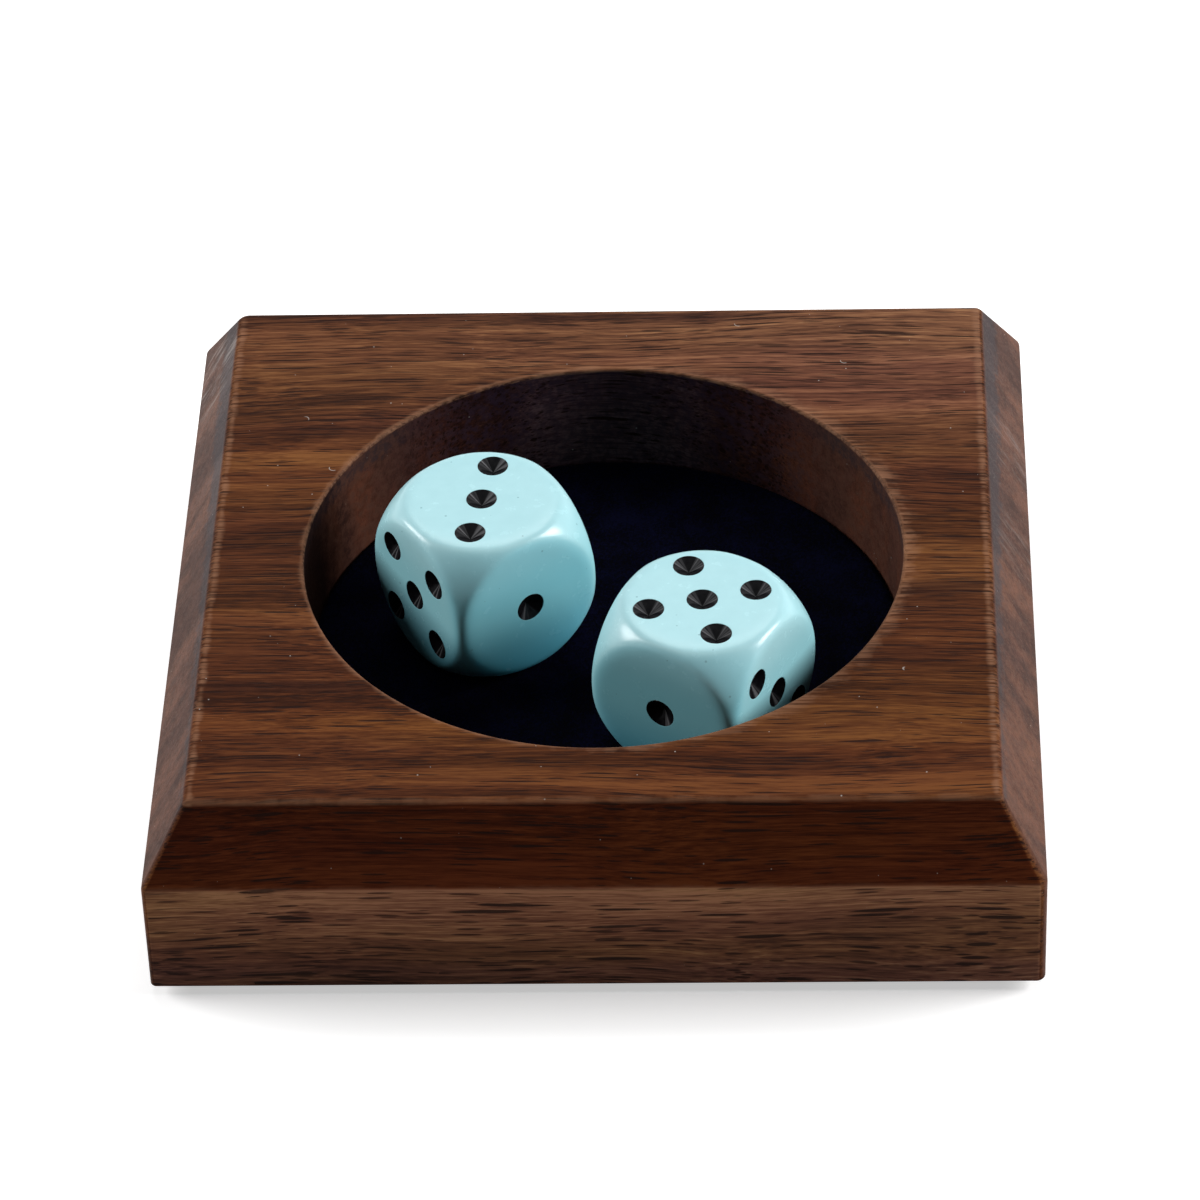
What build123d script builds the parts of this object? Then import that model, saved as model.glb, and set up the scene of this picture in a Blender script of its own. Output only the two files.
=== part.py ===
from build123d import *
import math
import os

# A small square walnut tray for game pieces, with a round felted recess and two loose dice in it.
# Origin: centre of the underside, on the surface that the tray stands on.
# +X points right, +Y to the back and +Z up, seen from the front. Millimetres.

# Walnut block
block_side = 82.55  # a 3 1/4 in square
block_height = 19.05  # a 3/4 in board
bevel_height = 7.15  # how far the bevel comes down the sides
bevel_angle = 30  # degrees from upright
edge_rounding = 0.4  # the long edges of the bevel
bottom_easing = 0.25  # round the underside

# The corners are eased by hand, the back ones more, and each blends into the bevel's slanted corner
front_left_rounding = 0.6
front_right_rounding = 0.9
back_left_rounding = 4.0
back_right_rounding = 4.5
front_top_rounding = 0.6  # at the top of the bevel
back_left_top_rounding = 2.3
back_right_top_rounding = 1.2
# Round recess, bored a little off the middle of the block
recess_diameter = 57.15  # a 2 1/4 in bit
recess_depth = 12.7
recess_shift_x = 0.25
recess_shift_y = -1.24
rim_easing = 0.3  # the mouth of the recess

# Felt in the recess and under the block
recess_felt_thickness = 1.5
recess_felt_clearance = 0.15  # between the disc and the wall of the recess
base_felt_thickness = 1.0
base_felt_inset = 3.2  # from the block's sides
base_felt_corner = 2.0

# Dice: a cube whose edges and corners are cut back by a sphere, with drilled and painted pips
die_size = 16.0
die_sphere_inset = 0.384  # how far inside the cube's sharp edges the sphere lies
die_rim_easing = 0.33  # round each flat face
pip_diameter = 3.0
pip_point_angle = 118  # degrees, a drill's point
pip_sides = 20  # flats round each drilled cone, few enough to keep all of them light
pip_spacing = 3.65  # from the middle of a face to its outer pips
paint_thickness = 0.2

# Where the dice lie: the bearing from the middle of the recess, in degrees anticlockwise from +X,
# the room between the die's widest round and the wall, and how far the die is turned, in degrees
left_die_bearing = 169.84
left_die_room = 5.97
left_die_turn = 35.08
right_die_bearing = -53.99
right_die_room = 1.22
right_die_turn = 59.98

# Heights that the pieces share
block_bottom = base_felt_thickness
block_top = block_bottom + block_height
bevel_foot = block_top - bevel_height
recess_floor = block_top - recess_depth
felt_top = recess_floor + recess_felt_thickness
die_middle = felt_top + die_size / 2

# Sizes that follow
top_side = block_side - 2 * bevel_height * math.tan(math.radians(bevel_angle))
recess_radius = recess_diameter / 2
pip_radius = pip_diameter / 2
half_point = math.radians(pip_point_angle / 2)
pip_depth = pip_radius / math.tan(half_point)
paint_rim = paint_thickness / math.cos(half_point)
paint_drop = paint_thickness / math.sin(half_point)
die_radius = die_size / math.sqrt(2) - die_sphere_inset
die_face_radius = math.sqrt(die_radius**2 - (die_size / 2) ** 2)
die_face_angle = math.degrees(math.asin(die_size / 2 / die_radius))

os.makedirs("parts", exist_ok=True)


def eased_square(side, front_left, front_right, back_left, back_right):
    """A square with each corner rounded by its own amount."""
    half = side / 2
    roundings = {
        (-half, -half): front_left,
        (half, -half): front_right,
        (-half, half): back_left,
        (half, half): back_right,
    }
    with BuildSketch() as outline:
        Rectangle(side, side)
        for corner, rounding in roundings.items():
            nearest = outline.vertices().sort_by_distance((*corner, 0))[0]
            fillet(nearest, rounding)
    return outline.sketch


foot_outline = eased_square(
    block_side, front_left_rounding, front_right_rounding, back_left_rounding, back_right_rounding
)
top_outline = eased_square(
    top_side, front_top_rounding, front_top_rounding, back_left_top_rounding, back_right_top_rounding
)

# The block: square sides, a bevel that leans in to the top, and the recess bored from above
with BuildPart() as tray_block:
    with BuildSketch(Plane.XY.offset(block_bottom)):
        add(foot_outline)
    extrude(amount=block_height - bevel_height)
    with BuildSketch(Plane.XY.offset(bevel_foot)):
        add(foot_outline)
    with BuildSketch(Plane.XY.offset(block_top)):
        add(top_outline)
    loft(ruled=True)
    top_edges = tray_block.edges().group_by(Axis.Z)[-1]
    bevel_edges = tray_block.edges().filter_by_position(Axis.Z, bevel_foot - 0.01, bevel_foot + 0.01)
    fillet(bevel_edges + top_edges, edge_rounding)
    chamfer(tray_block.edges().group_by(Axis.Z)[0], bottom_easing)
    with BuildSketch(Plane.XY.offset(block_top)):
        with Locations((recess_shift_x, recess_shift_y)):
            Circle(recess_radius)
    extrude(amount=-recess_depth, mode=Mode.SUBTRACT)
    recess_edges = tray_block.edges().filter_by(lambda edge: edge.geom_type == GeomType.CIRCLE)
    rim = recess_edges.filter_by(lambda edge: edge.radius == recess_radius).sort_by(Axis.Z)[-1]
    chamfer(rim, rim_easing)
tray_block.part.label = "tray_block"
export_step(tray_block.part, "parts/tray_block.step")

# Felt disc on the floor of the recess
with BuildPart() as recess_felt:
    with BuildSketch(Plane.XY.offset(recess_floor)):
        with Locations((recess_shift_x, recess_shift_y)):
            Circle(recess_radius - recess_felt_clearance)
    extrude(amount=recess_felt_thickness)
recess_felt.part.label = "recess_felt"
export_step(recess_felt.part, "parts/recess_felt.step")

# Felt sheet that the block stands on
base_felt_side = block_side - 2 * base_felt_inset
with BuildPart() as base_felt:
    with BuildSketch():
        RectangleRounded(base_felt_side, base_felt_side, base_felt_corner)
    extrude(amount=base_felt_thickness)
base_felt.part.label = "base_felt"
export_step(base_felt.part, "parts/base_felt.step")

# The faces of a die in its own frame: which way each number looks, and which way its rows run.
# Opposite faces add up to seven, and one, two and three run anticlockwise round their corner.
number_faces = {
    1: ((0, -1, 0), (1, 0, 0)),
    2: ((1, 0, 0), (0, 1, 0)),
    3: ((0, 0, 1), (1, 0, 0)),
    4: ((0, 0, -1), (1, 0, 0)),
    5: ((-1, 0, 0), (0, 1, 0)),
    6: ((0, 1, 0), (1, 0, 0)),
}

# The pips of each number, in steps of the pip spacing across the face
corner_pips = [(-1, -1), (-1, 1), (1, -1), (1, 1)]
number_pips = {
    1: [(0, 0)],
    2: [(-1, -1), (1, 1)],
    3: [(-1, -1), (0, 0), (1, 1)],
    4: corner_pips,
    5: corner_pips + [(0, 0)],
    6: corner_pips + [(-1, 0), (1, 0)],
}


def pip_places():
    """Where the pips of one die are drilled, with their axes pointing out of their faces."""
    places = []
    for number, (outward, along) in number_faces.items():
        middle = Vector(*outward) * (die_size / 2)
        face = Plane(origin=middle, x_dir=along, z_dir=outward)
        for column, row in number_pips[number]:
            places.append(face.location * Location((column * pip_spacing, row * pip_spacing, 0)))
    return places


# The cone that the drill takes out for one pip, mouth up
with BuildPart() as pip_cone:
    with BuildSketch() as mouth:
        RegularPolygon(pip_radius, pip_sides)
    loft(sections=[mouth.face(), Vertex(0, 0, -pip_depth)], ruled=True)

# The paint in one pip: a thin cup that lines the cone
with BuildPart() as pip_paint:
    add(pip_cone.part)
    with BuildSketch() as lip:
        RegularPolygon(pip_radius - paint_rim, pip_sides)
    loft(sections=[lip.face(), Vertex(0, 0, paint_drop - pip_depth)], ruled=True, mode=Mode.SUBTRACT)

# A ball with two opposite flats, their rims eased
with BuildPart() as flatted_ball:
    with BuildSketch(Plane.XZ) as half_profile:
        with BuildLine():
            CenterArc((0, 0), die_radius, -die_face_angle, 2 * die_face_angle)
            Polyline(
                (die_face_radius, die_size / 2),
                (0, die_size / 2),
                (0, -die_size / 2),
                (die_face_radius, -die_size / 2),
            )
        make_face()
        rims = half_profile.vertices().group_by(Axis.X)[-1]
        chamfer(rims, die_rim_easing)
    revolve(axis=Axis.Z)

# One die in its own frame, with its pips drilled: the same ball flatted along all three axes
with BuildPart() as die:
    add(flatted_ball.part)
    add(flatted_ball.part.rotate(Axis.X, 90), mode=Mode.INTERSECT)
    add(flatted_ball.part.rotate(Axis.Y, 90), mode=Mode.INTERSECT)
    with Locations(*pip_places()):
        add(pip_cone.part, mode=Mode.SUBTRACT)

# The paint in all the pips of one die
with BuildPart() as die_paint:
    with Locations(*pip_places()):
        add(pip_paint.part)


def die_origin(bearing, room):
    """The middle of a die that lies on the felt, with this much room to the wall of the recess."""
    reach = recess_radius - room - die_radius
    angle = math.radians(bearing)
    x = recess_shift_x + reach * math.cos(angle)
    y = recess_shift_y + reach * math.sin(angle)
    return (x, y, die_middle)


# The left die lies with its three up, and the right die with its five up
left_turn = math.radians(left_die_turn)
left_place = Plane(
    origin=die_origin(left_die_bearing, left_die_room),
    x_dir=(math.cos(left_turn), math.sin(left_turn), 0),
    z_dir=(0, 0, 1),
)
right_turn = math.radians(right_die_turn)
right_place = Plane(
    origin=die_origin(right_die_bearing, right_die_room),
    x_dir=(0, 0, -1),
    z_dir=(math.sin(right_turn), -math.cos(right_turn), 0),
)

with BuildPart() as die_left:
    with Locations(left_place):
        add(die.part)
die_left.part.label = "die_left"
export_step(die_left.part, "parts/die_left.step")

with BuildPart() as die_left_pips:
    with Locations(left_place):
        add(die_paint.part)
die_left_pips.part.label = "die_left_pips"
export_step(die_left_pips.part, "parts/die_left_pips.step")

with BuildPart() as die_right:
    with Locations(right_place):
        add(die.part)
die_right.part.label = "die_right"
export_step(die_right.part, "parts/die_right.step")

with BuildPart() as die_right_pips:
    with Locations(right_place):
        add(die_paint.part)
die_right_pips.part.label = "die_right_pips"
export_step(die_right_pips.part, "parts/die_right_pips.step")
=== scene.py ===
import math

import bpy
from mathutils import Matrix, Vector


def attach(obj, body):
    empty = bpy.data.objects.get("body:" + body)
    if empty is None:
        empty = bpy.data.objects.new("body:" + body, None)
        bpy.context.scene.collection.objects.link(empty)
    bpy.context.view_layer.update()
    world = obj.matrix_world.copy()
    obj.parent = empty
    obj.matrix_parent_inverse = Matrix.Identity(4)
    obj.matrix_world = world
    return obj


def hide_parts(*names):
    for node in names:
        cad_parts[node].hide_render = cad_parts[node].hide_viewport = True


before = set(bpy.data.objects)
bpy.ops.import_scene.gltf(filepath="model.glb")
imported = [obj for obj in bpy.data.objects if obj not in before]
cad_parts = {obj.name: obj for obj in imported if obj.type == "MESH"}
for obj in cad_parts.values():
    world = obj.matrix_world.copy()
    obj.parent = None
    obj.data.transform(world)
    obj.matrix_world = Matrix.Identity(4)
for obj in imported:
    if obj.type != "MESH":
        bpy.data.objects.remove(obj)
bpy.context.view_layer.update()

# A small walnut tray with a felted round recess and two loose turquoise dice.
# Metres, in the CAD model's frame: +X right, +Y to the back, +Z up. The grain runs along X.
mm = 0.001


def deselectAll():
    if bpy.context.mode != "OBJECT":
        bpy.ops.object.mode_set(mode="OBJECT")
    bpy.ops.object.select_all(action="DESELECT")


def pickOnly(piece):
    deselectAll()
    piece.select_set(True)
    bpy.context.view_layer.objects.active = piece


def startEditing(piece, mode="EDGE"):
    pickOnly(piece)
    bpy.ops.object.mode_set(mode="EDIT")
    bpy.ops.mesh.select_mode(type=mode)
    bpy.ops.mesh.select_all(action="DESELECT")
    bpy.ops.object.mode_set(mode="OBJECT")


def pickEdges(piece, test):  # the edges whose two ends pass the test
    startEditing(piece, "EDGE")
    points = piece.data.vertices
    for edge in piece.data.edges:
        ends = [points[number].co for number in edge.vertices]
        edge.select = test(*ends)
    bpy.ops.object.mode_set(mode="EDIT")


def settle(piece):  # its place, turn and scale go into its mesh
    pickOnly(piece)
    bpy.ops.object.transform_apply(location=True, rotation=True, scale=True)


def useModifier(piece, kind, **settings):
    pickOnly(piece)
    modifier = piece.modifiers.new(kind.lower(), kind)
    for name, value in settings.items():
        setattr(modifier, name, value)
    bpy.ops.object.modifier_apply(modifier=modifier.name)


def cutWith(piece, tool, operation="DIFFERENCE"):
    useModifier(piece, "BOOLEAN", operation=operation, object=tool, solver="EXACT")
    bpy.data.objects.remove(tool)


def smoothShade(piece, angle):
    pickOnly(piece)
    bpy.ops.object.shade_smooth_by_angle(angle=math.radians(angle), keep_sharp_edges=True)
    deselectAll()


def copyOf(piece, name):
    made = piece.copy()
    made.data = piece.data.copy()
    made.name = name
    made.data.name = name
    bpy.context.scene.collection.objects.link(made)
    return made


# The camera stands where the photo was taken from, found from the block's edges and the recess
camera = {
    "lens": 178.05,
    "sensor": 36,
    "place": (0.02069, -0.44140, 0.37473),
    "right": (0.99929, 0.02296, -0.02996),
    "down": (-0.00861, -0.63412, -0.77319),
    "forward": (-0.03675, 0.77290, -0.63347),
}


def makeCamera():
    data = bpy.data.cameras.new("photoCamera")
    data.lens = camera["lens"]
    data.sensor_width = camera["sensor"]
    made = bpy.data.objects.new("photoCamera", data)
    bpy.context.scene.collection.objects.link(made)
    right, down, forward = (Vector(camera[way]) for way in ("right", "down", "forward"))
    turn = Matrix((right, -down, -forward)).transposed().to_4x4()
    made.matrix_world = Matrix.Translation(camera["place"]) @ turn
    bpy.context.scene.camera = made


makeCamera()
print("camera placed")

block = {
    "side": 82.55 * mm,
    "topSide": 74.29 * mm,
    "bottom": 1.0 * mm,
    "bevelFoot": 12.9 * mm,
    "top": 20.05 * mm,
    # hand-eased corners: front left, front right, back right, back left
    "corners": (0.6 * mm, 0.9 * mm, 1.0 * mm, 1.2 * mm),
    "topCorners": (0.6 * mm, 0.6 * mm, 0.7 * mm, 1.1 * mm),
    "cornerSteps": 12,
    "footEdge": 0.25 * mm,
    "topEdge": 0.40 * mm,
    "bottomEdge": 0.20 * mm,
    "edgeSteps": 4,
    "recessRadius": 28.575 * mm,
    "recessSides": 256,
    "recessMiddle": (0.25 * mm, -1.24 * mm),
    "recessFloor": 7.35 * mm,
    "rim": 0.3 * mm,
    "smoothBelow": 40,  # degrees between faces
}
cornerSides = ((-1, -1), (1, -1), (1, 1), (-1, 1))
close = 0.01 * mm  # two heights nearer than this are the same


def makeOutline(side, corners, height):  # a flat square with each corner rounded by its own amount
    bpy.ops.mesh.primitive_plane_add(size=side, location=(0, 0, height))
    outline = bpy.context.object
    settle(outline)
    for (x, y), offset in zip(cornerSides, corners):
        startEditing(outline, "VERT")
        spot = Vector((x * side / 2, y * side / 2, height))
        nearest = min(outline.data.vertices, key=lambda point: (point.co - spot).length)
        nearest.select = True
        bpy.ops.object.mode_set(mode="EDIT")
        bpy.ops.mesh.bevel(offset=offset, segments=block["cornerSteps"], affect="VERTICES")
        bpy.ops.object.mode_set(mode="OBJECT")
    return outline


def easePicked(offset):  # rounds the picked edges, and leaves edit mode
    bpy.ops.mesh.bevel(offset=offset, segments=block["edgeSteps"], profile=0.5, affect="EDGES")
    bpy.ops.object.mode_set(mode="OBJECT")


def roundLoop(piece, height, offset):  # eases the edges that run round the block at one height
    pickEdges(piece, lambda a, b: max(abs(a.z - height), abs(b.z - height)) < close)
    easePicked(offset)


def pullUp(piece, height):  # pulls its only face up, and stays in edit mode
    startEditing(piece, "FACE")
    piece.data.polygons[0].select = True
    bpy.ops.object.mode_set(mode="EDIT")
    bpy.ops.mesh.extrude_region_move(TRANSFORM_OT_translate={"value": (0, 0, height)})


def shapeBoard():  # the board and its bevel, before the recess is bored
    board = makeOutline(block["side"], block["corners"], block["bottom"])
    pullUp(board, block["bevelFoot"] - block["bottom"])
    bpy.ops.mesh.delete(type="ONLY_FACE")
    bpy.ops.object.mode_set(mode="OBJECT")
    cap = makeOutline(block["topSide"], block["topCorners"], block["top"])
    pickOnly(board)
    cap.select_set(True)
    bpy.ops.object.join()

    # the bevel's slanted walls, from the foot loop to the top loop
    low = block["bevelFoot"] - close
    pickEdges(board, lambda a, b: abs(a.z - b.z) < close and a.z > low)
    bpy.ops.mesh.bridge_edge_loops()
    bpy.ops.mesh.select_all(action="SELECT")
    bpy.ops.mesh.remove_doubles(threshold=close / 10)
    bpy.ops.mesh.select_all(action="DESELECT")
    bpy.ops.mesh.select_non_manifold()
    bpy.ops.mesh.edge_face_add()
    bpy.ops.mesh.select_all(action="SELECT")
    bpy.ops.mesh.normals_make_consistent(inside=False)
    bpy.ops.object.mode_set(mode="OBJECT")
    roundLoop(board, block["bevelFoot"], block["footEdge"])
    roundLoop(board, block["top"], block["topEdge"])
    roundLoop(board, block["bottom"], block["bottomEdge"])
    return board


def boreRecess(board):
    depth = block["top"] - block["recessFloor"]
    x, y = block["recessMiddle"]
    bpy.ops.mesh.primitive_cylinder_add(
        vertices=block["recessSides"],
        radius=block["recessRadius"],
        depth=depth * 2,
        location=(x, y, block["recessFloor"] + depth),
    )
    borer = bpy.context.object
    settle(borer)
    cutWith(board, borer)

    def isRim(a, b):
        reach = [math.hypot(point.x - x, point.y - y) for point in (a, b)]
        onTop = all(abs(point.z - block["top"]) < close * 5 for point in (a, b))
        return onTop and all(abs(one - block["recessRadius"]) < close * 5 for one in reach)

    pickEdges(board, isRim)
    easePicked(block["rim"])


def makeBlock():
    made = shapeBoard()
    made.name = "walnut_block"
    boreRecess(made)
    smoothShade(made, block["smoothBelow"])
    useModifier(made, "WEIGHTED_NORMAL", keep_sharp=True, weight=50)
    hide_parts("tray_block")
    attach(made, "tray")
    return made


walnutBlock = makeBlock()
print("block made")

felt = {
    "radius": 28.425 * mm,
    "thickness": 1.5 * mm,
    "baseSide": 76.15 * mm,
    "baseThickness": 1.0 * mm,
    "baseCorner": 2.0 * mm,
    "voxel": 0.5 * mm,
    "lumpSize": 1.6 * mm,
    "lumpDetail": 3,
    "lumpHeight": 0.10 * mm,
    "smoothBelow": 60,
}


def fuzz(piece):  # an uneven, soft-edged surface, no larger than the cut sheet
    useModifier(piece, "REMESH", mode="VOXEL", voxel_size=felt["voxel"])
    lumps = bpy.data.textures.new("feltLumps", "CLOUDS")
    lumps.noise_scale = felt["lumpSize"]
    lumps.noise_depth = felt["lumpDetail"]
    useModifier(
        piece, "DISPLACE",
        texture=lumps, texture_coords="LOCAL", strength=felt["lumpHeight"], mid_level=1.0,
    )
    smoothShade(piece, felt["smoothBelow"])


def makeRecessFelt():
    x, y = block["recessMiddle"]
    bpy.ops.mesh.primitive_cylinder_add(
        vertices=block["recessSides"],
        radius=felt["radius"],
        depth=felt["thickness"],
        location=(x, y, block["recessFloor"] + felt["thickness"] / 2),
    )
    made = bpy.context.object
    made.name = "recess_felt_disc"
    settle(made)
    fuzz(made)
    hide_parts("recess_felt")
    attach(made, "tray")
    return made


def makeBaseFelt():
    made = makeOutline(felt["baseSide"], (felt["baseCorner"],) * 4, 0)
    made.name = "base_felt_sheet"
    pullUp(made, felt["baseThickness"])
    bpy.ops.mesh.select_all(action="SELECT")
    bpy.ops.mesh.normals_make_consistent(inside=False)
    bpy.ops.object.mode_set(mode="OBJECT")
    fuzz(made)
    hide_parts("base_felt")
    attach(made, "tray")
    return made


recessFelt = makeRecessFelt()
baseFelt = makeBaseFelt()
print("felts made")

die = {
    "size": 16.0 * mm,
    "radius": 10.93 * mm,  # the sphere that takes off its corners
    "voxel": 0.17 * mm,
    "softening": 140,
    "smoothBelow": 24,  # less than the 31 degrees at the lip of a pip
    "pipRadius": 1.5 * mm,
    "pipAngle": 118,  # a drill's point
    "pipSides": 48,
    "pipSpacing": 3.65 * mm,
    "drillReach": 0.6 * mm,  # how far the drill goes on above the face
    "paint": 0.03 * mm,
}
faces = {  # the way each number looks, and the way its rows run
    1: ((0, -1, 0), (1, 0, 0)),
    2: ((1, 0, 0), (0, 1, 0)),
    3: ((0, 0, 1), (1, 0, 0)),
    4: ((0, 0, -1), (1, 0, 0)),
    5: ((-1, 0, 0), (0, 1, 0)),
    6: ((0, 1, 0), (1, 0, 0)),
}
cornerPips = [(-1, -1), (-1, 1), (1, -1), (1, 1)]
pips = {
    1: [(0, 0)],
    2: [(-1, -1), (1, 1)],
    3: [(-1, -1), (0, 0), (1, 1)],
    4: cornerPips,
    5: cornerPips + [(0, 0)],
    6: cornerPips + [(-1, 0), (1, 0)],
}
places = {  # the left die lies three up and the right one five up
    "left": {"middle": (-11.2417, 0.8196, 16.85), "turn": 35.08},
    "right": {"middle": (9.9067, -14.5272, 16.85), "turn": 59.98},
}
halfPoint = math.radians(die["pipAngle"] / 2)


def pipPlaces():  # where each pip is drilled on a die at the origin, its Z looking out of the face
    found = []
    for number, (outward, along) in faces.items():
        z, x = Vector(outward), Vector(along)
        turn = Matrix((x, z.cross(x), z)).transposed().to_4x4()
        for column, row in pips[number]:
            spot = (column * die["pipSpacing"], row * die["pipSpacing"], die["size"] / 2)
            found.append(turn @ Matrix.Translation(spot))
    return found


def makeCone(mouth, reach, name):  # point down, mouth at height 0, going on past the mouth by reach
    deep = mouth / math.tan(halfPoint)
    bpy.ops.mesh.primitive_cone_add(
        vertices=die["pipSides"],
        radius1=mouth * (deep + reach) / deep,
        radius2=0,
        depth=deep + reach,
        end_fill_type="NGON" if reach else "NOTHING",
        location=(0, 0, (reach - deep) / 2),
        rotation=(math.pi, 0, 0),
    )
    made = bpy.context.object
    made.name = name
    settle(made)
    return made


def spread(piece, name):  # copies of a piece at all the pips of one die, as one object
    copies = []
    for number, place in enumerate(pipPlaces()):
        one = copyOf(piece, f"{name}{number}")
        one.data.transform(place)
        copies.append(one)
    deselectAll()
    for one in copies:
        one.select_set(True)
    bpy.context.view_layer.objects.active = copies[0]
    bpy.ops.object.join()
    made = bpy.context.object
    made.name = name
    bpy.data.objects.remove(piece)
    return made


def makeDie():
    bpy.ops.mesh.primitive_cube_add(size=die["size"])
    made = bpy.context.object
    made.name = "dieBlank"
    bpy.ops.mesh.primitive_uv_sphere_add(segments=128, ring_count=64, radius=die["radius"])
    cutWith(made, bpy.context.object, "INTERSECT")
    useModifier(made, "REMESH", mode="VOXEL", voxel_size=die["voxel"], adaptivity=0)
    useModifier(made, "SMOOTH", factor=0.5, iterations=die["softening"])
    cutWith(made, spread(makeCone(die["pipRadius"], die["drillReach"], "drill"), "drills"))
    smoothShade(made, die["smoothBelow"])
    return made


def makePaint():
    cup = makeCone(die["pipRadius"] - die["paint"] / math.cos(halfPoint), 0, "cup")
    useModifier(cup, "SOLIDIFY", thickness=die["paint"], offset=1)
    return spread(cup, "pipPaint")  # flat-shaded, for a drill's radial streaks


def placeOn(piece, name, side):
    place = places[side]
    middle = Vector(place["middle"]) * mm
    angle = math.radians(place["turn"])
    if side == "left":
        x, z = Vector((math.cos(angle), math.sin(angle), 0)), Vector((0, 0, 1))
    else:
        x, z = Vector((0, 0, -1)), Vector((math.sin(angle), -math.cos(angle), 0))
    turn = Matrix((x, z.cross(x), z)).transposed().to_4x4()
    made = copyOf(piece, name)
    made.data.transform(Matrix.Translation(middle) @ turn)
    return made


dieBlank = makeDie()
pipBlank = makePaint()
dice = []
paints = []
for side in ("left", "right"):
    one = placeOn(dieBlank, f"{side}_die", side)
    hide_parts(f"die_{side}")
    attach(one, f"{side}_die")
    dice.append(one)
    two = placeOn(pipBlank, f"{side}_die_paint", side)
    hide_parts(f"die_{side}_pips")
    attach(two, f"{side}_die")
    paints.append(two)
bpy.data.objects.remove(dieBlank)
bpy.data.objects.remove(pipBlank)
print("dice made")


# Short ways to add shader nodes: a value is either a number or another node's output
def fill(tree, socket, value):
    if isinstance(value, bpy.types.NodeSocket):
        tree.links.new(value, socket)
    else:
        socket.default_value = value


def addNode(tree, kind, inputs=(), **settings):
    made = tree.nodes.new("ShaderNode" + kind)
    for name, value in settings.items():
        setattr(made, name, value)
    for key, value in dict(inputs).items():
        fill(tree, made.inputs[key], value)
    return made


def reckon(tree, operation, *values):
    return addNode(tree, "Math", dict(enumerate(values)), operation=operation).outputs[0]


def vectorReckon(tree, operation, *values, out=0):
    return addNode(tree, "VectorMath", dict(enumerate(values)), operation=operation).outputs[out]


def stretch(tree, vector, scale, turn=(0, 0, 0)):
    return addNode(tree, "Mapping", {"Vector": vector, "Scale": scale, "Rotation": turn}).outputs[0]


def noise(tree, vector, scale=1.0, detail=2.0, roughness=0.5, out="Fac"):
    inputs = {"Vector": vector, "Scale": scale, "Detail": detail, "Roughness": roughness}
    return addNode(tree, "TexNoise", inputs).outputs[out]


def between(tree, value, low, high, start=0.0, end=1.0):  # low..high becomes start..end, held outside
    inputs = {"Value": value, "From Min": low, "From Max": high, "To Min": start, "To Max": end}
    return addNode(tree, "MapRange", inputs, interpolation_type="SMOOTHSTEP").outputs[0]


def mixColor(tree, factor, first, second, blend="MIX"):
    made = addNode(tree, "Mix", data_type="RGBA", blend_type=blend)
    for key, value in ((0, factor), (6, first), (7, second)):
        fill(tree, made.inputs[key], value)
    return made.outputs[2]


def times(tree, *values):
    made = values[0]
    for value in values[1:]:
        made = reckon(tree, "MULTIPLY", made, value)
    return made


def most(tree, *values):
    made = values[0]
    for value in values[1:]:
        made = reckon(tree, "MAXIMUM", made, value)
    return made


def swing(tree, value, amount, about):  # a noise's swing round its middle, times the amount, about a value
    return reckon(tree, "MULTIPLY_ADD", reckon(tree, "SUBTRACT", value, 0.5), amount, about)


def tint(tree, mask, color, tone):  # the color times the tone, where the mask is
    return mixColor(tree, mask, color, tone, "MULTIPLY")


def split(tree, vector):
    return addNode(tree, "SeparateXYZ", {0: vector}).outputs


def lengthOf(tree, vector):
    return vectorReckon(tree, "LENGTH", vector, out="Value")


def ramp(tree, value, stops):
    made = addNode(tree, "ValToRGB", {0: value})
    band = made.color_ramp
    while len(band.elements) < len(stops):
        band.elements.new(0.5)
    for element, (place, color) in zip(band.elements, stops):
        element.position = place
        element.color = (*color, 1)
    return made.outputs[0]


def startGroup(name, inputs, outputs):  # inputs as (name, kind, value), outputs as (name, kind)
    group = bpy.data.node_groups.new(name, "ShaderNodeTree")
    for label, kind, value in inputs:
        socket = group.interface.new_socket(label, in_out="INPUT", socket_type="NodeSocket" + kind)
        if value is not None:
            socket.default_value = value
    for label, kind in outputs:
        group.interface.new_socket(label, in_out="OUTPUT", socket_type="NodeSocket" + kind)
    entry = group.nodes.new("NodeGroupInput")
    leave = group.nodes.new("NodeGroupOutput")
    return group, entry.outputs, leave.inputs


def useGroup(tree, group, **values):
    made = tree.nodes.new("ShaderNodeGroup")
    made.node_tree = group
    for name, value in values.items():
        fill(tree, made.inputs[name], value)
    return made.outputs


def startMaterial(name):
    material = bpy.data.materials.new(name)
    material.use_nodes = True
    tree = material.node_tree
    spots = tree.nodes.new("ShaderNodeTexCoord").outputs
    inMm = stretch(tree, spots["Object"], (1 / mm, 1 / mm, 1 / mm))
    return material, tree, tree.nodes["Principled BSDF"], inMm, spots["Normal"]


def finishMaterial(tree, shader, color, roughness, height, look):
    tree.links.new(color, shader.inputs["Base Color"])
    tree.links.new(roughness, shader.inputs["Roughness"])
    shader.inputs["Specular IOR Level"].default_value = look["specular"]
    bump = addNode(tree, "Bump", {"Height": height, "Strength": look["bump"], "Distance": look["bumpDepth"]})
    tree.links.new(bump.outputs[0], shader.inputs["Normal"])


def dress(piece, material):
    piece.data.materials.clear()
    piece.data.materials.append(material)


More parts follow.
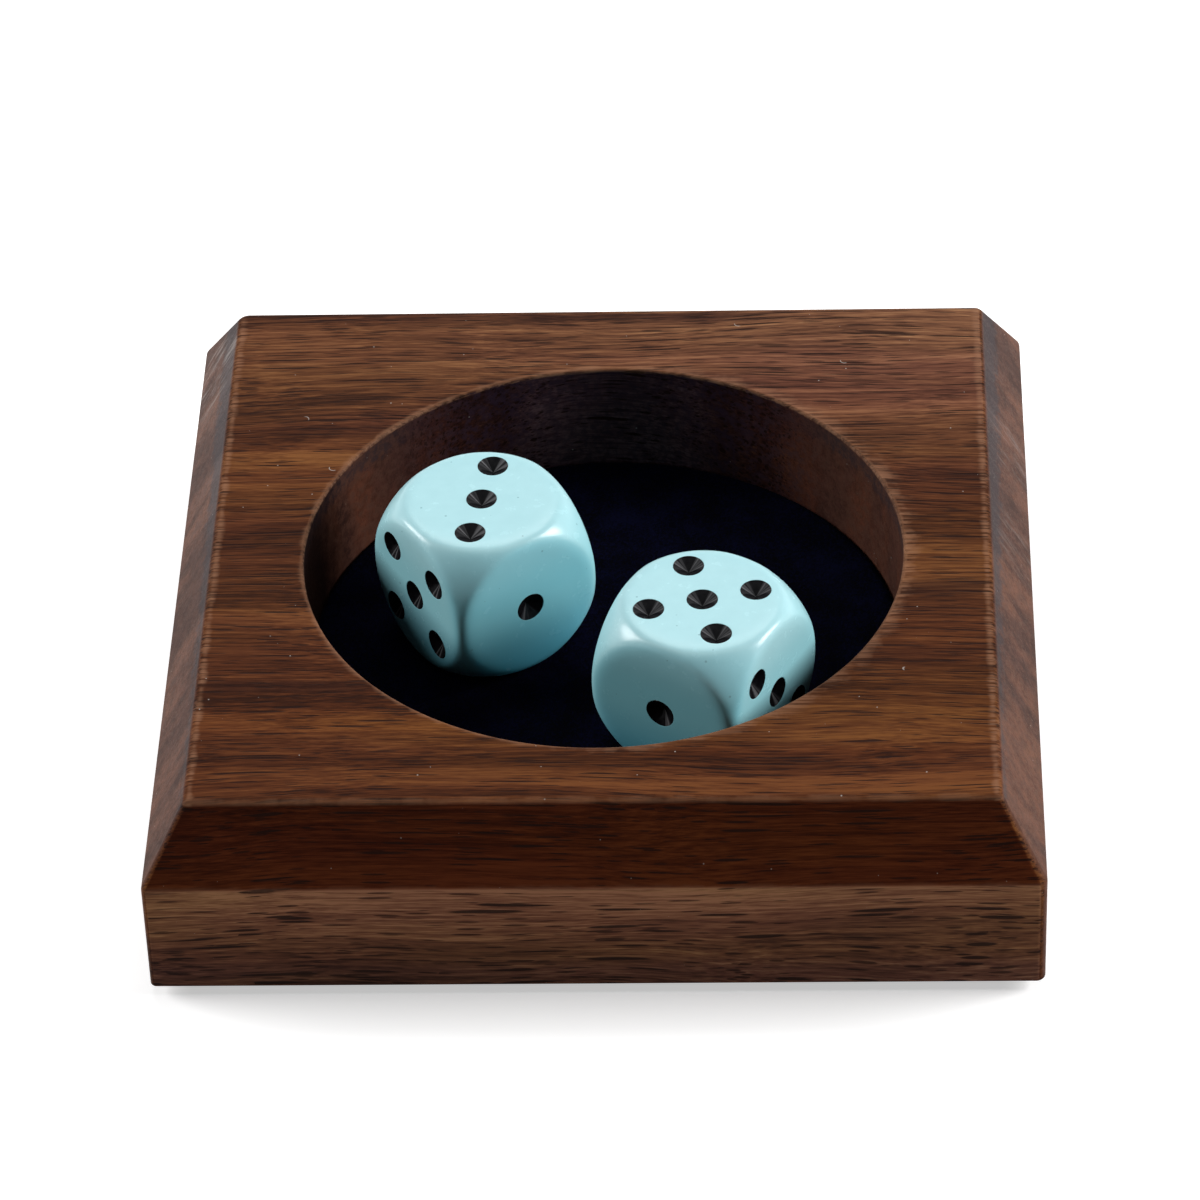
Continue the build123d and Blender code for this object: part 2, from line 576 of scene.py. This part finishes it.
# Long dark pores, as slits that follow the grain. Cells is one over their spacing, each way.
def makePoreGroup():
    group, given, wanted = startGroup(
        "pores",
        [
            ("Place", "Vector", None),
            ("Cells", "Vector", (0.1, 2.0, 2.0)),
            ("Size", "Float", 0.2),
            ("Share", "Float", 0.5),
            ("Crowding", "Float", 0.5),
        ],
        [("Mask", "Float")],
    )
    spot = vectorReckon(group, "MULTIPLY", given["Place"], given["Cells"])
    cells = addNode(group, "TexVoronoi", {"Vector": spot, "Scale": 1.0})
    chance = addNode(group, "SeparateColor", {0: cells.outputs["Color"]}).outputs
    reach = reckon(group, "MULTIPLY", given["Size"], reckon(group, "MULTIPLY_ADD", chance[1], 0.8, 0.6))
    depth = reckon(group, "DIVIDE", cells.outputs["Distance"], reach)
    slit = between(group, depth, 1.10, 0.80)
    limit = reckon(group, "ADD", given["Share"], given["Crowding"])
    kept = between(group, reckon(group, "SUBTRACT", limit, chance[0]), -0.02, 0.10)
    group.links.new(times(group, slit, kept), wanted["Mask"])
    return group


grainCells = {  # one over the size of each kind of figure, along the grain and across it, per millimetre
    "wander": (1 / 38, 1 / 16, 1 / 16),
    "bands": (1 / 120, 1 / 4.2, 1 / 15),
    "lines": (1 / 18, 1 / 0.36, 1 / 0.34),
    "fibres": (1 / 2.6, 1 / 0.13, 1 / 0.13),
    "longPores": (1 / 11, 1 / 0.36, 1 / 0.58),
    "shortPores": (1 / 4, 1 / 0.23, 1 / 0.32),
}
grainWander = (0, 4.5, 4.5)  # in millimetres
bandTilt = math.radians(40)


# Walnut figure running along X: slanting bands, fine lines and pores
def makeGrainGroup():
    group, given, wanted = startGroup(
        "walnutGrain",
        [("Place", "Vector", None), ("Wander", "Float", 1.0)],
        [("Bands", "Float"), ("Lines", "Float"), ("Fibres", "Float"), ("Pores", "Float")],
    )
    slow = noise(group, stretch(group, given["Place"], grainCells["wander"]), detail=1.5, out="Color")
    bend = vectorReckon(group, "MULTIPLY", vectorReckon(group, "SUBTRACT", slow, (0.5,) * 3), grainWander)
    bent = addNode(group, "VectorMath", {0: bend, "Scale": given["Wander"]}, operation="SCALE").outputs[0]
    along = vectorReckon(group, "ADD", given["Place"], bent)
    slanted = stretch(group, along, grainCells["bands"], (bandTilt, 0, 0))
    bands = noise(group, slanted, detail=2.5, roughness=0.55)
    lines = noise(group, stretch(group, along, grainCells["lines"]), detail=3, roughness=0.6)
    fibres = noise(group, stretch(group, along, grainCells["fibres"]), detail=2, roughness=0.6)
    crowd = swing(group, lines, -1.8, swing(group, bands, -1.6, 0.0))  # more pores where the wood is dark
    near = {"Place": along, "Crowding": crowd}
    long = useGroup(group, poreGroup, Cells=grainCells["longPores"], Size=0.29, Share=0.62, **near)
    short = useGroup(group, poreGroup, Cells=grainCells["shortPores"], Size=0.32, Share=0.55, **near)
    pores = most(group, long["Mask"], times(group, short["Mask"], 0.85))
    for value, name in ((bands, "Bands"), (lines, "Lines"), (fibres, "Fibres"), (pores, "Pores")):
        group.links.new(value, wanted[name])
    return group


# Wear that fades away from an edge and breaks up with the grain. Lengths are in millimetres.
def makeWearGroup():
    group, given, wanted = startGroup(
        "edgeWear",
        [
            ("Distance", "Float", 1.0),
            ("Width", "Float", 0.5),
            ("Grain", "Float", 0.5),
            ("Place", "Vector", None),
        ],
        [("Mask", "Float")],
    )
    rough = noise(group, given["Place"], scale=0.35, detail=3, roughness=0.6)
    reach = times(group, given["Width"], between(group, rough, 0.35, 0.62, 0.6, 1.2))
    fade = reckon(group, "DIVIDE", reckon(group, "ABSOLUTE", given["Distance"]), reach)
    ridge = between(group, given["Grain"], 0.38, 0.58, 0.10, 1.0)
    patch = between(group, rough, 0.30, 0.60, 0.45, 1.0)
    group.links.new(times(group, between(group, fade, 1.0, 0.0), ridge, patch), wanted["Mask"])
    return group


# Small scattered specks, and curled hairs. Spacing is in millimetres, and Size and Curl in spacings.
def makeSpeckGroup():
    group, given, wanted = startGroup(
        "specks",
        [
            ("Place", "Vector", None),
            ("Spacing", "Float", 2.0),
            ("Share", "Float", 0.2),
            ("Size", "Float", 0.04),
            ("Curl", "Float", 0.08),
        ],
        [("Mask", "Float"), ("Curls", "Float")],
    )
    inverse = reckon(group, "DIVIDE", 1.0, given["Spacing"])
    scaled = addNode(group, "VectorMath", {0: given["Place"], "Scale": inverse}, operation="SCALE").outputs[0]
    cells = addNode(group, "TexVoronoi", {"Vector": scaled, "Scale": 1.0})
    parts = addNode(group, "SeparateColor", {0: cells.outputs["Color"]}).outputs
    size = reckon(group, "MULTIPLY", given["Size"], reckon(group, "MULTIPLY_ADD", parts[1], 1.2, 0.4))
    spot = between(group, reckon(group, "DIVIDE", cells.outputs["Distance"], size), 1.2, 0.7)
    kept = reckon(group, "LESS_THAN", parts[0], given["Share"])
    group.links.new(times(group, spot, kept), wanted["Mask"])
    ring = reckon(group, "ABSOLUTE", reckon(group, "SUBTRACT", cells.outputs["Distance"], given["Curl"]))
    aim = vectorReckon(group, "SUBTRACT", cells.outputs["Color"], (0.5,) * 3)
    outward = vectorReckon(group, "SUBTRACT", scaled, cells.outputs["Position"])
    side = vectorReckon(group, "DOT_PRODUCT", outward, aim, out="Value")
    curl = times(group, between(group, ring, 0.010, 0.004), between(group, side, 0.005, 0.015), kept)
    group.links.new(curl, wanted["Curls"])
    return group


# How closely a surface looks one way
def makeFacingGroup():
    group, given, wanted = startGroup(
        "facing",
        [("Normal", "Vector", None), ("Toward", "Vector", (0, 0, 1)), ("Edge", "Float", 0.9)],
        [("Mask", "Float")],
    )
    much = vectorReckon(group, "DOT_PRODUCT", given["Normal"], given["Toward"], out="Value")
    full = reckon(group, "ADD", given["Edge"], 0.05)
    group.links.new(between(group, much, given["Edge"], full), wanted["Mask"])
    return group


poreGroup = makePoreGroup()
grainGroup = makeGrainGroup()
wearGroup = makeWearGroup()
speckGroup = makeSpeckGroup()
facingGroup = makeFacingGroup()


def looking(tree, normal, toward, edge):  # where the surface looks that way, from the edge's cosine on
    return useGroup(tree, facingGroup, Normal=normal, Toward=toward, Edge=edge)["Mask"]


# Lengths are in millimetres. A pair is where a mask starts and where it is full, and two more
# numbers are its values there.
walnut = {
    "tones": [
        (0.10, (0.022, 0.0070, 0.0032)),
        (0.38, (0.055, 0.0180, 0.0072)),
        (0.58, (0.084, 0.0290, 0.0108)),
        (0.90, (0.150, 0.0600, 0.0220)),
    ],
    "contrast": {"Bands": 1.5, "Lines": 1.3, "Fibres": 0.9},
    "roughness": (0.2, 0.8, 0.55, 0.42),  # by tone
    "specular": 0.035,
    "bump": 0.35,
    "bumpDepth": 0.1 * mm,
    "mottle": {"scale": 1.1, "detail": 4, "roughness": 0.65},
    "figure": {  # the top's bands: from x, to x, y and half width
        "dark": ((20, 40, -7.0, 2.3), (-40, -17, -21.2, 1.7), (-12, 16, 35.5, 1.0)),
        "golden": ((18, 40, -13.5, 4.0), (-40, -4, -26.0, 2.2), (-40, -22, 13.0, 7.0), (6, 36, -31.0, 1.6)),
        "darkTone": (0.50, 0.46, 0.52, 1),
        "goldenTone": (1.10, 1.08, 1.02, 1),
        "wander": 5.0,
        "fade": 6,  # at both ends of a band
        "core": 0.35,  # the share of the half width that is full
    },
    "hue": {
        "golden": (1.05, 0.99, 0.76, 1),
        "reddish": (0.99, 0.85, 0.78, 1),
        "cells": (1 / 55, 1 / 8, 1 / 8),
        "change": (0.36, 0.62),
    },
    "ends": {
        "light": (0.092, 0.037, 0.022, 1),
        "deep": (0.058, 0.028, 0.021, 1),
        "facing": (0.50, 0.80),
        "bands": (0.38, 0.60),
        "longGrain": (0.35, 0.65, 0.0, 0.28),
        "cloud": {"scale": 0.7, "detail": 5, "roughness": 0.75},
        "cloudTone": (0.35, 0.65, 0.68, 1.16),
        "stripe": (0.030, 0.025, 0.028, 1),  # dark, along the top of the bevel
        "stripeReach": (0.5, 2.6),  # at the front and at the back
        "stripeRagged": 3.5,
        "stripeEdge": (0.8, -0.6),
        "stripeStart": (0.15, 0.6),
        "stripeStrength": 0.75,
    },
    "front": {
        # painted shade on the front bevel, and a painted reflection of the floor on the front face, stronger
        # low down
        "bevel": (0.60, 0.40, 0.38, 1),
        "bevelLooks": ((0, -0.866, 0.5), 0.93),
        "face": (2.15, 2.85, 4.40, 1),
        "faceLooks": ((0, -1, 0), 0.92),
        "low": (0.92, 0.96, 1.15, 1),
        "lowHeight": (5.0, 2.5),
    },
    "wall": {
        "inside": (0.12, -0.02),  # from the rim
        "tone": (0.80, 0.66, 0.66, 1),
        "mottle": (0.062, 0.027, 0.019, 1),
        "mottled": (0.40, 0.62, 0.1, 0.8),
        # painted shade at the back and on the left of the recess
        "back": (0.30, 0.42, 1.20, 1),
        "backFrom": (8, 22),
        "backNarrowing": -0.35,
        "left": (0.30, 0.30, 0.34, 1),
        "leftFrom": (-22.5, -25.5),
        "leftRagged": 4.0,
    },
    "top": {
        "looks": ((0, 0, 1), 0.90),
        # painted sheen, lighter and greyer towards the back; darker and warmer towards the front
        "back": (2.20, 3.00, 5.20, 1),
        "backFrom": (4, 38),
        "backAcross": (-38, 36, 0.24, 0.92),
        "front": (0.94, 0.89, 0.74, 1),
        "frontFrom": (-10, -24),
    },
    "pores": {
        "color": (0.010, 0.0036, 0.0024, 1),
        "onEnds": (0, 1, 0.90, 0.15),
        "depth": -0.8,  # against the fibres' height
        "fibreHeight": 0.35,
    },
    "wear": {
        "color": (0.270, 0.135, 0.078, 1),
        "strength": 0.60,
        "below": (0.45, 0.25),  # the block's top
        "sideInset": 0.45,
        "side": 0.60,
        "front": 0.60,
        "frontStrength": 0.7,
        "foot": 0.45,
        "footStrength": 0.45,
        "rimInset": 0.2,
        "rim": 0.35,
        "rimStreaks": (-12, 26, 0.7, 2.0),
    },
    "scuffsAndReflection": {
        # pale grey streaks on the side bevels: scuffs with a painted reflection
        "color": (0.230, 0.200, 0.185, 1),
        "strength": 0.70,
        "places": (((-39, 33, 16.5), 8, 1.0), ((40, 19, 16), 6, 0.45), ((40, 4, 15), 6, 0.35)),
        "core": 0.4,
        "cells": (0.1, 1 / 0.9, 1 / 5),
        "slant": math.radians(-38),
        "streaks": (0.48, 0.68),
    },
    "dust": {
        "color": (0.50, 0.46, 0.42, 1),
        "specks": {"Spacing": 1.6, "Share": 0.80, "Size": 0.034},
        "specksOnTop": (0, 1, 0.35, 0.60),
        "hairs": {"Spacing": 5.5, "Share": 0.90, "Curl": 0.075},
        "hairStrength": 0.55,
    },
}


def measureBlock(tree, inMm, normal):  # what the block's finishes go by
    x, y, z = split(tree, inMm)
    middleX, middleY = (value / mm for value in block["recessMiddle"])
    off = vectorReckon(tree, "SUBTRACT", inMm, (middleX, middleY, 0))
    fromMiddle = lengthOf(tree, vectorReckon(tree, "MULTIPLY", off, (1, 1, 0)))
    sideways = reckon(tree, "ABSOLUTE", split(tree, normal)[0])
    return {
        "place": inMm,
        "normal": normal,
        "x": x,
        "y": y,
        "z": z,
        "aside": reckon(tree, "ABSOLUTE", x),
        "fromRim": reckon(tree, "SUBTRACT", fromMiddle, block["recessRadius"] / mm),
        "onTop": looking(tree, normal, *walnut["top"]["looks"]),
        "onEnds": between(tree, sideways, *walnut["ends"]["facing"]),
        "mottle": noise(tree, inMm, **walnut["mottle"]),
    }


def addFigure(tree, color, at, grain):  # broad dark and golden bands on the top, then a drift of hue
    look = walnut["figure"]
    wavyY = swing(tree, grain["Bands"], look["wander"], at["y"])
    for kind in ("dark", "golden"):
        bands = []
        for start, stop, height, reach in look[kind]:
            off = reckon(tree, "ABSOLUTE", reckon(tree, "SUBTRACT", wavyY, height))
            band = between(tree, off, reach, reach * look["core"])
            begins = between(tree, at["x"], start, start + look["fade"])
            ends = between(tree, at["x"], stop, stop - look["fade"])
            bands.append(times(tree, band, begins, ends))
        color = tint(tree, most(tree, *bands), color, look[kind + "Tone"])
    look = walnut["hue"]
    hue = noise(tree, stretch(tree, at["place"], look["cells"]), detail=2)
    warmth = mixColor(tree, between(tree, hue, *look["change"]), look["reddish"], look["golden"])
    return tint(tree, 1.0, color, warmth)


def addEndGrain(tree, color, at, grain):  # on the left and right sides
    look = walnut["ends"]
    ends = mixColor(tree, between(tree, grain["Bands"], *look["bands"]), look["deep"], look["light"])
    ends = mixColor(tree, between(tree, at["mottle"], *look["longGrain"]), ends, color)
    cloud = between(tree, noise(tree, at["place"], **look["cloud"]), *look["cloudTone"])
    ends = addNode(tree, "VectorMath", {0: ends, "Scale": cloud}, operation="SCALE").outputs[0]
    depth = reckon(tree, "SUBTRACT", block["top"] / mm, at["z"])
    half = block["side"] / 2 / mm
    reach = between(tree, at["y"], -half, half, *look["stripeReach"])
    ragged = swing(tree, at["mottle"], look["stripeRagged"], depth)
    stripe = between(tree, reckon(tree, "SUBTRACT", ragged, reach), *look["stripeEdge"])
    stripe = times(tree, stripe, between(tree, depth, *look["stripeStart"]), look["stripeStrength"])
    ends = mixColor(tree, stripe, ends, look["stripe"])
    return mixColor(tree, at["onEnds"], color, ends)


def addFrontShadeAndReflection(tree, color, at):  # painted shade makes the bevel darker and redder, and a painted reflection of the floor makes the face lighter and greyer, more so low down
    look = walnut["front"]
    color = tint(tree, looking(tree, at["normal"], *look["bevelLooks"]), color, look["bevel"])
    face = looking(tree, at["normal"], *look["faceLooks"])
    color = tint(tree, face, color, look["face"])
    low = times(tree, face, between(tree, at["z"], *look["lowHeight"]))
    return tint(tree, low, color, look["low"])


def addWallAndShade(tree, color, at):  # the wall of the recess, with painted shade darkest at the back and on the left
    look = walnut["wall"]
    inside = tint(tree, 1.0, color, look["tone"])
    inside = mixColor(tree, between(tree, at["mottle"], *look["mottled"]), inside, look["mottle"])
    toBack = reckon(tree, "MULTIPLY_ADD", at["aside"], look["backNarrowing"], at["y"])
    inside = tint(tree, between(tree, toBack, *look["backFrom"]), inside, look["back"])
    toLeft = reckon(tree, "MULTIPLY_ADD", at["mottle"], look["leftRagged"], at["x"])
    inside = tint(tree, between(tree, toLeft, *look["leftFrom"]), inside, look["left"])
    return mixColor(tree, between(tree, at["fromRim"], *look["inside"]), color, inside)


def addTopSheen(tree, color, at):  # painted sheen: the top is lighter and greyer towards the back, most of all on the right, and darker and warmer towards the front
    look = walnut["top"]
    across = between(tree, at["x"], *look["backAcross"])
    toBack = times(tree, at["onTop"], between(tree, at["y"], *look["backFrom"]), across)
    color = tint(tree, toBack, color, look["back"])
    toFront = times(tree, at["onTop"], between(tree, at["y"], *look["frontFrom"]))
    return tint(tree, toFront, color, look["front"])


def addWear(tree, color, at, grain):  # along the top's sides and front, the bevel's foot and the rim
    look = walnut["wear"]
    half, top = block["topSide"] / 2 / mm, block["top"] / mm
    wide, foot = block["side"] / 2 / mm, block["bevelFoot"] / mm
    evenly = 0.5

    def worn(distance, width, ridges):
        sockets = {"Distance": distance, "Width": width, "Grain": ridges, "Place": at["place"]}
        return useGroup(tree, wearGroup, **sockets)["Mask"]

    nearTop = between(tree, at["z"], *(top - below for below in look["below"]))
    fromSide = reckon(tree, "SUBTRACT", half - look["sideInset"], at["aside"])
    fromFront = reckon(tree, "ADD", at["y"], half)
    off = vectorReckon(tree, "ADD", at["place"], (0, wide, -foot))
    fromFoot = lengthOf(tree, vectorReckon(tree, "MULTIPLY", off, (0, 1, 1)))
    # a pale even line just inside the rim: wear, and a painted highlight along it
    rimHighlightAndWear = worn(reckon(tree, "SUBTRACT", at["fromRim"], look["rimInset"]), look["rim"], evenly)
    rimStreaks = worn(at["fromRim"], between(tree, at["x"], *look["rimStreaks"]), grain["Lines"])
    edges = most(
        tree,
        times(tree, nearTop, worn(fromSide, look["side"], grain["Lines"])),
        times(tree, nearTop, look["frontStrength"], worn(fromFront, look["front"], evenly)),
        times(tree, look["footStrength"], worn(fromFoot, look["foot"], evenly)),
        times(tree, nearTop, most(tree, rimHighlightAndWear, rimStreaks)),
    )
    return mixColor(tree, times(tree, edges, look["strength"]), color, look["color"])


def addScuffsAndReflection(tree, color, at):  # pale, and slanting across the side bevels: scuffs, and a painted reflection of the floor, strongest at the back left
    look = walnut["scuffsAndReflection"]
    slanted = stretch(tree, at["place"], look["cells"], (look["slant"], 0, 0))
    streaks = noise(tree, slanted, detail=5, roughness=0.7)
    patches = []
    for middle, size, much in look["places"]:
        away = vectorReckon(tree, "DISTANCE", at["place"], middle, out="Value")
        patches.append(between(tree, away, size, size * look["core"], 0.0, much))
    scuffsAndReflection = times(tree, most(tree, *patches), at["onEnds"], between(tree, streaks, *look["streaks"]))
    return mixColor(tree, times(tree, scuffsAndReflection, look["strength"]), color, look["color"])


def addDust(tree, color, at):  # specks all over, and hairs on the top
    look = walnut["dust"]
    specks = useGroup(tree, speckGroup, Place=at["place"], **look["specks"])["Mask"]
    hairs = useGroup(tree, speckGroup, Place=at["place"], **look["hairs"])["Curls"]
    specks = times(tree, specks, between(tree, at["onTop"], *look["specksOnTop"]))
    hairs = times(tree, hairs, at["onTop"], look["hairStrength"])
    return mixColor(tree, most(tree, specks, hairs), color, look["color"])


def makeWalnut():
    material, tree, shader, inMm, normal = startMaterial("oiled_walnut")
    at = measureBlock(tree, inMm, normal)
    grain = useGroup(tree, grainGroup, Place=inMm, Wander=1.0)
    tone = 0.5
    for kind, amount in walnut["contrast"].items():
        tone = swing(tree, grain[kind], amount, tone)
    color = addFigure(tree, ramp(tree, tone, walnut["tones"]), at, grain)
    color = addEndGrain(tree, color, at, grain)
    color = addFrontShadeAndReflection(tree, color, at)
    color = addWallAndShade(tree, color, at)
    color = addTopSheen(tree, color, at)
    look = walnut["pores"]
    pores = times(tree, grain["Pores"], between(tree, at["onEnds"], *look["onEnds"]))
    color = mixColor(tree, pores, color, look["color"])
    color = addWear(tree, color, at, grain)
    color = addScuffsAndReflection(tree, color, at)
    color = addDust(tree, color, at)
    roughness = between(tree, tone, *walnut["roughness"])
    sunk = times(tree, pores, look["depth"])
    height = reckon(tree, "MULTIPLY_ADD", grain["Fibres"], look["fibreHeight"], sunk)
    finishMaterial(tree, shader, color, roughness, height, walnut)
    return material


dress(walnutBlock, makeWalnut())


nap = {
    "fibres": {"scale": 4.5, "detail": 4, "roughness": 0.75},
    "patches": {"scale": 0.25, "detail": 2},
    "patchShare": 0.25,
    "change": (0.42, 0.62),  # from the dark color to the light one
    "lint": (0.22, 0.22, 0.26, 1),
    "lintSpecks": {"Spacing": 3.0, "Share": 0.30, "Size": 0.03},
    "lintStrength": 0.6,
    "roughness": (0.3, 0.7, 0.90, 1.0),
    "specular": 0.02,
    "bump": 0.6,
    "bumpDepth": 0.3 * mm,
}


def makeFelt(name, dark, light):
    material, tree, shader, inMm = startMaterial(name)[:4]
    fibres = noise(tree, inMm, **nap["fibres"])
    patches = noise(tree, inMm, **nap["patches"])
    share = nap["patchShare"]
    mixed = reckon(tree, "MULTIPLY_ADD", patches, share, times(tree, fibres, 1 - share))
    color = ramp(tree, between(tree, mixed, *nap["change"]), [(0.0, dark), (1.0, light)])
    lint = useGroup(tree, speckGroup, Place=inMm, **nap["lintSpecks"])["Mask"]
    color = mixColor(tree, times(tree, lint, nap["lintStrength"]), color, nap["lint"])
    finishMaterial(tree, shader, color, between(tree, fibres, *nap["roughness"]), fibres, nap)
    return material


dress(recessFelt, makeFelt("navy_black_felt", (0.0002, 0.0002, 0.0008), (0.0022, 0.0026, 0.0120)))
dress(baseFelt, makeFelt("base_black_felt", (0.004, 0.004, 0.004), (0.018, 0.018, 0.020)))

plastic = {
    "cloud": {"scale": 0.6, "detail": 4, "roughness": 0.6},
    "dark": (0.370, 0.635, 0.680),
    "light": (0.385, 0.655, 0.700),
    "change": (0.3, 0.7),
    "middle": (0.300, 0.610, 0.665, 1),  # painted shade: deeper and bluer lower down, towards the felt
    "middleHeight": (24.6, 18),
    "low": (0.115, 0.390, 0.490, 1),
    "lowHeight": (18, 9.5),
    "front": (0.80, 0.98, 1.02, 1),  # the sides in shade
    "frontFacing": (0.45, 0.88),
    "speck": (0.10, 0.22, 0.26, 1),
    "specks": {"Spacing": 1.5, "Share": 0.90, "Size": 0.060},
    "speckStrength": 0.50,
    "roughness": (0.3, 0.7, 0.20, 0.28),
    "specular": 0.35,
    "bump": 0.06,
    "bumpDepth": 0.2 * mm,
}


def makePlastic():
    material, tree, shader, inMm, normal = startMaterial("turquoise_plastic")
    cloud = noise(tree, inMm, **plastic["cloud"])
    stops = [(0.0, plastic["dark"]), (1.0, plastic["light"])]
    color = ramp(tree, between(tree, cloud, *plastic["change"]), stops)
    z = split(tree, inMm)[2]
    # painted shade: the dice darker and bluer lower down
    color = mixColor(tree, between(tree, z, *plastic["middleHeight"]), color, plastic["middle"])
    color = mixColor(tree, between(tree, z, *plastic["lowHeight"]), color, plastic["low"])
    frontward = vectorReckon(tree, "DOT_PRODUCT", normal, (0, -1, 0), out="Value")
    color = tint(tree, between(tree, frontward, *plastic["frontFacing"]), color, plastic["front"])
    specks = useGroup(tree, speckGroup, Place=inMm, **plastic["specks"])["Mask"]
    color = mixColor(tree, times(tree, specks, plastic["speckStrength"]), color, plastic["speck"])
    finishMaterial(tree, shader, color, between(tree, cloud, *plastic["roughness"]), cloud, plastic)
    return material


paint = {
    "streak": {"scale": 2.0, "detail": 3},
    "tones": [(0.3, (0.002, 0.002, 0.003)), (0.8, (0.008, 0.008, 0.009))],
    # the painted highlights' fans in the top pips and in those of the sides: their aim's y and z, and their
    # edge
    "fans": ((-0.258, 0.857, 0.945), (-0.46, 0.52, 0.957)),
    "facets": {"scale": 7.0, "detail": 3, "roughness": 0.8},
    # the grey of the painted highlights in the pips
    "facetShine": (0.42, 0.64, 0.02, 0.60),
    "fanHighlight": (0.22, 0.22, 0.23, 1),
    "roughness": (0.3, 0.7, 0.10, 0.16),
    "specular": 0.06,
    "bump": 0.2,
    "bumpDepth": 0.1 * mm,
}


def makePaintMaterial():
    material, tree, shader, inMm, normal = startMaterial("black_pip_paint")
    streak = noise(tree, inMm, **paint["streak"])
    # each flat facet of a cone has its own tone, and the facets that look towards the lamps' reflection, most
    # of all right and left, get a painted highlight as grey fans
    facetNoise = noise(tree, normal, **paint["facets"])
    fans = []
    for y, z, edge in paint["fans"]:
        x = math.sqrt(1 - y**2 - z**2)
        fans += [looking(tree, normal, (side, y, z), edge) for side in (-x, x)]
    shine = times(tree, most(tree, *fans), between(tree, facetNoise, *paint["facetShine"]))
    color = mixColor(tree, shine, ramp(tree, streak, paint["tones"]), paint["fanHighlight"])
    finishMaterial(tree, shader, color, between(tree, streak, *paint["roughness"]), streak, paint)
    return material


plasticMaterial = makePlastic()
paintMaterial = makePaintMaterial()
for one in dice:
    dress(one, plasticMaterial)
for one in paints:
    dress(one, paintMaterial)
print("materials made")

# Strong softboxes left and right and a weaker one behind, so that the front stays in half shade
studio = {
    "floorSize": 6.0,
    "floorHeight": -0.05 * mm,
    "floorColor": (0.80, 0.80, 0.80, 1),
    "floorGlow": 0.50,
    "ambient": 0.06,
    "aim": (0, 0, 0.01),  # of all the lamps
    "lamps": {
        "backSoftbox": {"place": (0.0, 0.40, 0.64), "size": (0.5, 0.4), "watts": 1.9},
        "leftSoftbox": {"place": (-0.61, 0.12, 0.32), "size": (0.30, 0.30), "watts": 4.2},
        "rightSoftbox": {"place": (0.63, 0.05, 0.32), "size": (0.30, 0.30), "watts": 6.0},
    },
}


def isSeen(tree):  # by the camera, or in a reflection or through glass
    path = tree.nodes.new("ShaderNodeLightPath").outputs
    return most(tree, path["Is Camera Ray"], path["Is Glossy Ray"], path["Is Transmission Ray"])


def makeFloor():
    bpy.ops.mesh.primitive_plane_add(size=studio["floorSize"], location=(0, 0, studio["floorHeight"]))
    floor = bpy.context.object
    floor.name = "floor"
    settle(floor)
    material, tree, shader = startMaterial("pale_floor")[:3]
    shader.inputs["Base Color"].default_value = studio["floorColor"]
    shader.inputs["Roughness"].default_value = 1.0
    shader.inputs["Specular IOR Level"].default_value = 0.0
    shader.inputs["Emission Color"].default_value = (1, 1, 1, 1)
    tree.links.new(times(tree, isSeen(tree), studio["floorGlow"]), shader.inputs["Emission Strength"])
    dress(floor, material)


def makeWorld():
    world = bpy.data.worlds.new("studio")
    bpy.context.scene.world = world
    world.use_nodes = True
    tree = world.node_tree
    backdrop = tree.nodes["Background"]
    backdrop.inputs["Color"].default_value = (1, 1, 1, 1)
    tree.links.new(between(tree, isSeen(tree), 0, 1, studio["ambient"], 1.0), backdrop.inputs["Strength"])


def makeLamps():
    for name, lamp in studio["lamps"].items():
        data = bpy.data.lights.new(name, "AREA")
        data.shape = "RECTANGLE"
        data.size, data.size_y = lamp["size"]
        data.energy = lamp["watts"]
        made = bpy.data.objects.new(name, data)
        bpy.context.scene.collection.objects.link(made)
        made.location = lamp["place"]
        aim = Vector(studio["aim"]) - Vector(lamp["place"])
        made.rotation_euler = aim.to_track_quat("-Z", "Y").to_euler()


makeFloor()
makeWorld()
makeLamps()
bpy.context.scene.view_settings.view_transform = "Standard"
print("studio made")
